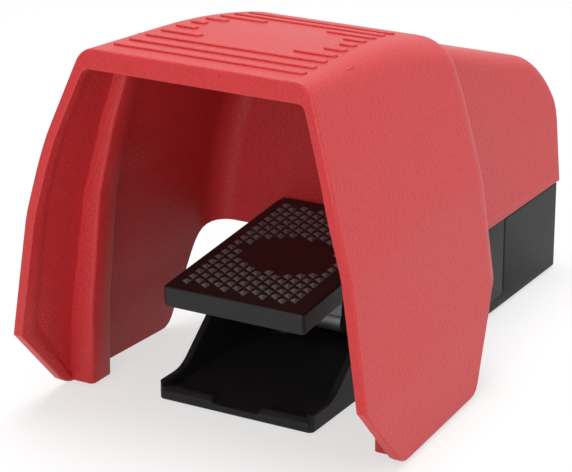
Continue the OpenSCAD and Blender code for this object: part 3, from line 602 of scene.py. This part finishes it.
def low_side(t):
    """Side view of the lower part of row t: from the foot up to LEVEL."""
    low = FOOT_ROWS[round(t * FOOT_FINE)]
    high = Vector((front_y(LEVEL) + (ROUNDING_Y - front_y(LEVEL)) * t, LEVEL))
    low0, high0 = LOW_FRONT[0], LOW_FRONT[-1]
    total = sum((b - a).length for a, b in zip(LOW_FRONT, LOW_FRONT[1:]))
    out, gone = [], 0.0
    for k, p in enumerate(LOW_FRONT):
        gone += (p - LOW_FRONT[k - 1]).length if k else 0
        share = gone / total
        out.append(low.lerp(high, share) + (p - low0.lerp(high0, share)) * max(1 - t, 0.0) ** FADE)
    return out


# %% The hood's upper side and whole rings
ROOF_GUESS_Z, STRAIGHT_Z, LEAST_R = 150.0, 128.0, 0.6
SIDE_STEPS, ROUND_STEPS, TOP_STEPS = 10, 8, 8


def upper_arch(y_of, inset, inset_top):
    """The section above LEVEL as (x, z): up the side, round the edge and to the middle of the roof."""
    y = y_of(roof_z(y_of(ROOF_GUESS_Z)))
    top = roof_z(y) - inset_top
    radius = max(edge_radius(y) - min(inset, inset_top), LEAST_R)
    up = Vector((-LEAN, 1)).normalized()
    corner = Vector((side_x(y, STRAIGHT_Z, inset) - LEAN * (top - STRAIGHT_Z), top))
    first = math.atan(LEAN)
    reach = radius * math.tan((math.pi / 2 - first) / 2)
    start, stop = corner - up * reach, corner - Vector((reach, 0))
    points = []
    for k in range(1, SIDE_STEPS):
        z = LEVEL + (start.y - LEVEL) * k / SIDE_STEPS
        points.append(Vector((side_x(y_of(z), z, inset), z)))
    for k in range(ROUND_STEPS + 1):
        a = first + (math.pi / 2 - first) * k / ROUND_STEPS
        points.append(Vector((stop.x, stop.y - radius)) + radius * Vector((math.cos(a), math.sin(a))))
    for k in range(1, TOP_STEPS + 1):
        points.append(Vector((stop.x * (1 - k / TOP_STEPS), top)))
    return points


def hood_row(t, inset, inset_top, shift=0.0):
    """Half a ring of the hood, from the right foot to the middle of the roof. shift moves it back along Y."""
    def y_of(z):
        return front_y(z) + (ROUNDING_Y - front_y(z)) * t + shift
    low = low_side(t)
    if shift:
        low = even([Vector((ROUNDING_Y, foot_z(ROUNDING_Y + shift))), Vector((ROUNDING_Y, LEVEL))], LOW_N)
    half = [(side_x(p.x + shift, p.y, inset), p.x + shift, p.y) for p in low]
    half += [(p.x, y_of(p.y), p.y) for p in upper_arch(y_of, inset, inset_top)]
    return [at(*p) for p in half] + [at(-x, y, z) for x, y, z in half[-2::-1]]


# %% The two skins
BACK_STEPS = [12, 24, 36, 48, 60, 70, 80, 90]  # degrees round the back rounding


def skin(bm, wall, front=None):
    rows = []
    for t in ROW_T:
        inset, inset_top = front if front and t <= BEAD_T else (wall, wall)
        rows.append(hood_row(t, inset, inset_top))
    radius = BACK_R - wall
    for a in BACK_STEPS:
        drawn = wall + radius * (1 - math.cos(math.radians(a)))
        rows.append(hood_row(1.0, drawn, drawn, radius * math.sin(math.radians(a))))
    rings = loft(bm, rows)
    bmesh.ops.contextual_create(bm, geom=rings[-1])
    return rings


# %% Build the hood
RIM_BEVEL = 2.6  # each rim's rounding is a share of this
FRONT_SHARE, FOOT_SHARE, INNER_SHARE = 0.4, 0.3, 0.22
hood = bmesh.new()
weight = hood.edges.layers.float.new("bevel_weight_edge")
outer = skin(hood, 0.0)
inner = skin(hood, WALL, (BEAD, BROW))


def rim_edges(rings):
    """The open edge of a skin: front ring, both feet and the foot of the back wall."""
    verts = set(rings[0]) | {r[0] for r in rings} | {r[-1] for r in rings}
    return [e for e in hood.edges if e.verts[0] in verts and e.verts[1] in verts and len(e.link_faces) == 1]


outer_rim, inner_rim = rim_edges(outer), rim_edges(inner)
print("rim edges:", len(outer_rim), len(inner_rim))
bmesh.ops.bridge_loops(hood, edges=outer_rim + inner_rim)
bmesh.ops.recalc_face_normals(hood, faces=hood.faces)
front_verts = set(outer[0])
for edge in outer_rim:
    edge[weight] = FRONT_SHARE if front_verts.issuperset(edge.verts) else FOOT_SHARE
for edge in inner_rim:
    edge[weight] = INNER_SHARE
hood_piece = finish_piece(hood, "guard_shell", "base", "red_plastic", ("guard_hood",), 30)
bevel_modifier(hood_piece, RIM_BEVEL, 4).limit_method = "WEIGHT"

# %% [markdown]
# ## Pilasters and roof ribs
# A broad rib inside each wing stops it from folding under a blow. It is a loft of eight-cornered rings. The
# roof carries low ribs for grip and stiffness, which stop in steps round a plain oval. Each of them is a
# bevelled cube.

# %% Pilasters
PILASTER_Y, PILASTER_W, PILASTER_ROWS = -4.0, 14.0, 40
PILASTER_MID = PILASTER_Y + PILASTER_W / 2
PILASTER_DEPTH = [(1.5, 10.8), (34.0, 9.6), (91.0, 6.8), (120.0, 5.8), (152.0, 5.0)]  # height and depth
PILASTER_LIFT, PILASTER_STOP = 0.8, 2.1  # above the wing's foot and below the roof's outer face
CHAMFER, CHAMFER_MID, ROOT = 1.6, 0.5, 1.6  # the rounded long edges, and how far the rib is set into the wing


def pilaster_depth(z):
    for (z0, d0), (z1, d1) in zip(PILASTER_DEPTH, PILASTER_DEPTH[1:]):
        if z <= z1:
            return d0 + (d1 - d0) * (z - z0) / (z1 - z0)
    return PILASTER_DEPTH[-1][1]


pilasters = bmesh.new()
for side in (1, -1):
    rings = []
    y0, y1 = PILASTER_Y, PILASTER_Y + PILASTER_W
    for k in range(PILASTER_ROWS):
        rise = roof_z(PILASTER_MID) - PILASTER_LIFT - PILASTER_STOP - WING_Z
        z = WING_Z + PILASTER_LIFT + rise * k / (PILASTER_ROWS - 1)
        out = side_x(PILASTER_MID, z, ROOT)
        deep = side_x(PILASTER_MID, z, WALL) - pilaster_depth(z)
        half = [(out, 0), (deep + CHAMFER, 0), (deep + CHAMFER_MID, CHAMFER_MID), (deep, CHAMFER)]
        rings.append([at(side * x, y0 + in_y, z) for x, in_y in half] +
                     [at(side * x, y1 - in_y, z) for x, in_y in reversed(half)])
    made = loft(pilasters, rings, closed=True)
    for end in (made[0], made[-1]):
        bmesh.ops.contextual_create(pilasters, geom=end)
bmesh.ops.recalc_face_normals(pilasters, faces=pilasters.faces)
finish_piece(pilasters, "guard_pilasters", "base", "red_plastic", ("guard_hood",), 50)

# %% Roof ribs
RIB_Y0, RIB_PITCH, RIB_W, RIB_H, RIB_END = -16.6, 9.7, 4.4, 0.8, 41.9
RIB_SUNK, RIB_END_R, RIB_TOP_R, RIB_TAPER = 0.6, 1.8, 0.5, 0.0974  # the ribs get shorter towards the rear
OVAL_Y, OVAL_RX, OVAL_RY, OVAL_FIRST = 30.0, 30.0, 24.0, 3
ribs = bmesh.new()


def each_once(items):
    """The items in the order they came, each once."""
    return list(dict.fromkeys(items))


def roof_rib(y, x0, x1):
    """One rib across the roof from x0 to x1, with rounded ends and top, laid on the roof's slope."""
    slope = math.atan(ROOF_FALL + max(y - FALL_Y, 0) / FALL_R)
    made = bmesh.ops.create_cube(ribs, size=1.0)["verts"]
    bmesh.ops.scale(ribs, vec=Vector((x1 - x0, RIB_W, RIB_H + RIB_SUNK)) * MM, verts=made)
    edges = each_once(e for v in made for e in v.link_edges)
    upright = [e for e in edges if abs(e.verts[0].co.z - e.verts[1].co.z) > 1e-5]
    bevelled = bmesh.ops.bevel(ribs, geom=upright, offset=RIB_END_R * MM, segments=5, profile=0.5,
                               affect="EDGES", material=-1)
    verts = each_once(v for f in bevelled["faces"] for v in f.verts)
    top = each_once(e for v in verts for e in v.link_edges if min(w.co.z for w in e.verts) > 0 and
                    abs(e.verts[0].co.z - e.verts[1].co.z) < 1e-7 and
                    any(abs(f.normal.z) < 0.5 for f in e.link_faces))
    verts = each_once(verts + [v for e in top for v in e.verts])
    rounded = bmesh.ops.bevel(ribs, geom=top, offset=RIB_TOP_R * MM, segments=3, profile=0.5,
                              affect="EDGES", material=-1)
    verts = each_once([v for v in verts if v.is_valid] + [v for f in rounded["faces"] for v in f.verts])
    bmesh.ops.translate(ribs, vec=Vector((0, 0, (RIB_H - RIB_SUNK) / 2 * MM)), verts=verts)
    bmesh.ops.rotate(ribs, cent=(0, 0, 0), matrix=Matrix.Rotation(-slope, 3, "X"), verts=verts)
    bmesh.ops.translate(ribs, vec=at((x0 + x1) / 2, y, roof_z(y)), verts=verts)


for i in range(10):
    y = RIB_Y0 + RIB_PITCH * i
    end = RIB_END - RIB_TAPER * RIB_PITCH * i
    off = (y - OVAL_Y) / OVAL_RY
    gap = OVAL_RX * math.sqrt(1 - off * off) if abs(off) < 1 and i >= OVAL_FIRST else 0
    if gap:
        roof_rib(y, gap, end)
        roof_rib(y, -end, -gap)
    else:
        roof_rib(y, -end, end)
bmesh.ops.recalc_face_normals(ribs, faces=ribs.faces)
finish_piece(ribs, "guard_roof_ribs", "base", "red_plastic", ("guard_hood",), 30)

# %% [markdown]
# ## The rear cover
# The cover over the switch chamber is a second red moulding. Its top falls towards the rear and turns down in
# a large rounding, and a soft crease runs along each side. It is again a loft, closed at both ends.

# %% The cover's measured form
COVER_W, COVER_H, COVER_FALL, COVER_REAR, COVER_Z = 88.0, 135.5, 0.3, 223.0, 43.0
TOP_R, SIDE_R, EDGE_R, EDGE_DRAFT = 26.0, 3.0, 10.0, 0.8
CREASE_DROP, CREASE_FALL, CREASE_LEAST, CREASE_BEND = 34.6, 0.215, 12, 3.0  # the crease's depth under the top
TOP_IN, CREASE_IN = 8.2, 2.4  # how far the side is drawn in at the top's edge and at the crease
COVER_WALL = 2.6
COVER_SIDE_STEPS, COVER_TOP_STEPS, COVER_ROWS, REAR_ROWS = 16, 6, 12, 14


def drawn_in(y, r):
    """How far a rounding of radius r at the rear end draws the section in at y."""
    over = y - COVER_REAR + r
    return 0.0 if over <= 0 else r - math.sqrt(max(r * r - over * over, 0))


def cover_row(y, inset, inset_top):
    """One ring of the cover, from its right foot over the top to its left foot."""
    top = COVER_H - COVER_FALL * (y - BACK_Y)
    lean = (TOP_IN - CREASE_IN) / CREASE_DROP
    crease = min(COVER_H - CREASE_DROP - CREASE_FALL * (y - BACK_Y), top - inset_top - CREASE_LEAST)
    foot_slope = CREASE_IN / (crease - COVER_Z)

    def x_at(z):
        past_crease = (lean - foot_slope) * ramp(z - crease, CREASE_BEND)
        return COVER_W / 2 - foot_slope * (z - COVER_Z) - past_crease - inset
    radius = max(EDGE_R - inset * EDGE_DRAFT, LEAST_R)
    z_top = top - inset_top
    tilt = math.atan(lean)
    reach = radius * math.tan((math.pi / 2 - tilt) / 2)
    corner_x = x_at(z_top)
    half = []
    for k in range(COVER_SIDE_STEPS + 1):
        z = COVER_Z + (z_top - reach - COVER_Z) * k / COVER_SIDE_STEPS
        half.append((x_at(z), y, z))
    for k in range(1, ROUND_STEPS + 1):
        a = tilt + (math.pi / 2 - tilt) * k / ROUND_STEPS
        half.append((corner_x - reach + radius * math.cos(a), y, z_top - radius + radius * math.sin(a)))
    for k in range(1, COVER_TOP_STEPS + 1):
        half.append(((corner_x - reach) * (1 - k / COVER_TOP_STEPS), y, z_top))
    return [at(*p) for p in half] + [at(-x, yy, z) for x, yy, z in half[-2::-1]]


# %% Build the cover
cover = bmesh.new()
straight = COVER_REAR - TOP_R - BACK_Y
rows = [cover_row(BACK_Y + straight * k / COVER_ROWS, 0, 0) for k in range(COVER_ROWS)]
for k in range(REAR_ROWS + 1):
    y = COVER_REAR - TOP_R * (1 - math.sin(math.radians(90 * k / REAR_ROWS)))
    rows.append(cover_row(y, drawn_in(y, SIDE_R), drawn_in(y, TOP_R)))
cover_rings = loft(cover, rows)
for end in (cover_rings[0], cover_rings[-1]):
    bmesh.ops.contextual_create(cover, geom=end)
bmesh.ops.recalc_face_normals(cover, faces=cover.faces)
cover_piece = finish_piece(cover, "cover_shell", "base", "red_plastic", ("rear_cover",), 40)
thick = cover_piece.modifiers.new("wall", "SOLIDIFY")
thick.thickness, thick.offset = COVER_WALL * MM, -1

# %% [markdown]
# ## Base and pedal
# Both are copied from their solids and get softened edges, as every moulding has. The chamber's side walls
# are moved out a little, up to the cover's edge, and the two toe corners get half their radius.

# %% Base and pedal
MOULD_EDGE = 0.7
WALL_INNER_X, WALL_STRETCH = 38.7, 1.43
TOE_CORNER_X, TOE_CORNER_R, NEAR = 30.9, 5.0, 0.15  # centre and radius of the toe corner's arc
base_piece = softened("base_housing", "base_shell", "base", MOULD_EDGE)
for vertex in base_piece.data.vertices:
    x, y = vertex.co.x / MM, (vertex.co.y - TOE_Y) / MM
    if abs(x) > WALL_INNER_X:
        vertex.co.x = math.copysign(WALL_INNER_X + (abs(x) - WALL_INNER_X) * WALL_STRETCH, x) * MM
    corner = Vector((abs(x) - TOE_CORNER_X, y - TOE_CORNER_R))
    if corner.x > 0.01 and corner.y < -0.01 and abs(corner.length - TOE_CORNER_R) < NEAR:
        vertex.co.x = math.copysign(TOE_CORNER_X + TOE_CORNER_R / 2 + corner.x / 2, x) * MM
        vertex.co.y = TOE_Y + (TOE_CORNER_R / 2 + corner.y / 2) * MM
softened("pedal", "pedal_plate", "pedal_lever", MOULD_EDGE)

# %% [markdown]
# ## The pedal's studs
# Small three-sided pyramids in staggered columns grip a wet sole. They leave a smooth border and a bare oval.

# %% Studs
TILT, PEDAL_Y, PEDAL_Z = math.radians(5.0), -1.2, 51.4  # the plate's tilt, and its front edge at the top
STUD_X0, STUD_S0, STUD_DX, STUD_DS = -25.3, 7.5, 4.4, 5.08
STUD_COLUMNS, STUD_ROWS, STUD_END = 12, 18, 91  # no stud behind STUD_END
STUD_R, STUD_TIP_R, STUD_H, STUD_SUNK = 2.35, 0.25, 1.3, 0.02
BARE_S, BARE_RX, BARE_RS = 45.0, 21.5, 16.5  # the bare oval
quarter_turn = Matrix.Rotation(math.radians(90), 4, "Z")
studs = bmesh.new()
count = 0
for i in range(STUD_COLUMNS):
    for j in range(STUD_ROWS):
        x, s = STUD_X0 + STUD_DX * i, STUD_S0 + STUD_DS * (j + (i % 2) / 2)
        if s > STUD_END or (x / BARE_RX) ** 2 + ((s - BARE_S) / BARE_RS) ** 2 < 1:
            continue
        place = Matrix.Translation(Vector((x, s, STUD_H / 2 - STUD_SUNK)) * MM)
        bmesh.ops.create_cone(studs, cap_ends=True, segments=3, radius1=STUD_R * MM, radius2=STUD_TIP_R * MM,
                              depth=STUD_H * MM, matrix=place @ quarter_turn)
        count += 1
tilted = Matrix.Translation(at(0, PEDAL_Y, PEDAL_Z)) @ Matrix.Rotation(TILT, 4, "X")
bmesh.ops.transform(studs, matrix=tilted, verts=studs.verts)
print("studs:", count)
stud_piece = finish_piece(studs, "pedal_studs", "pedal_lever", "pedal_plastic", (), 20)
stud_piece.data.materials[0] = STUD_GREY  # the studs are a lighter grey than the plate

# %% [markdown]
# ## Update the scene

# %% Update the view layer
bpy.context.view_layer.update()
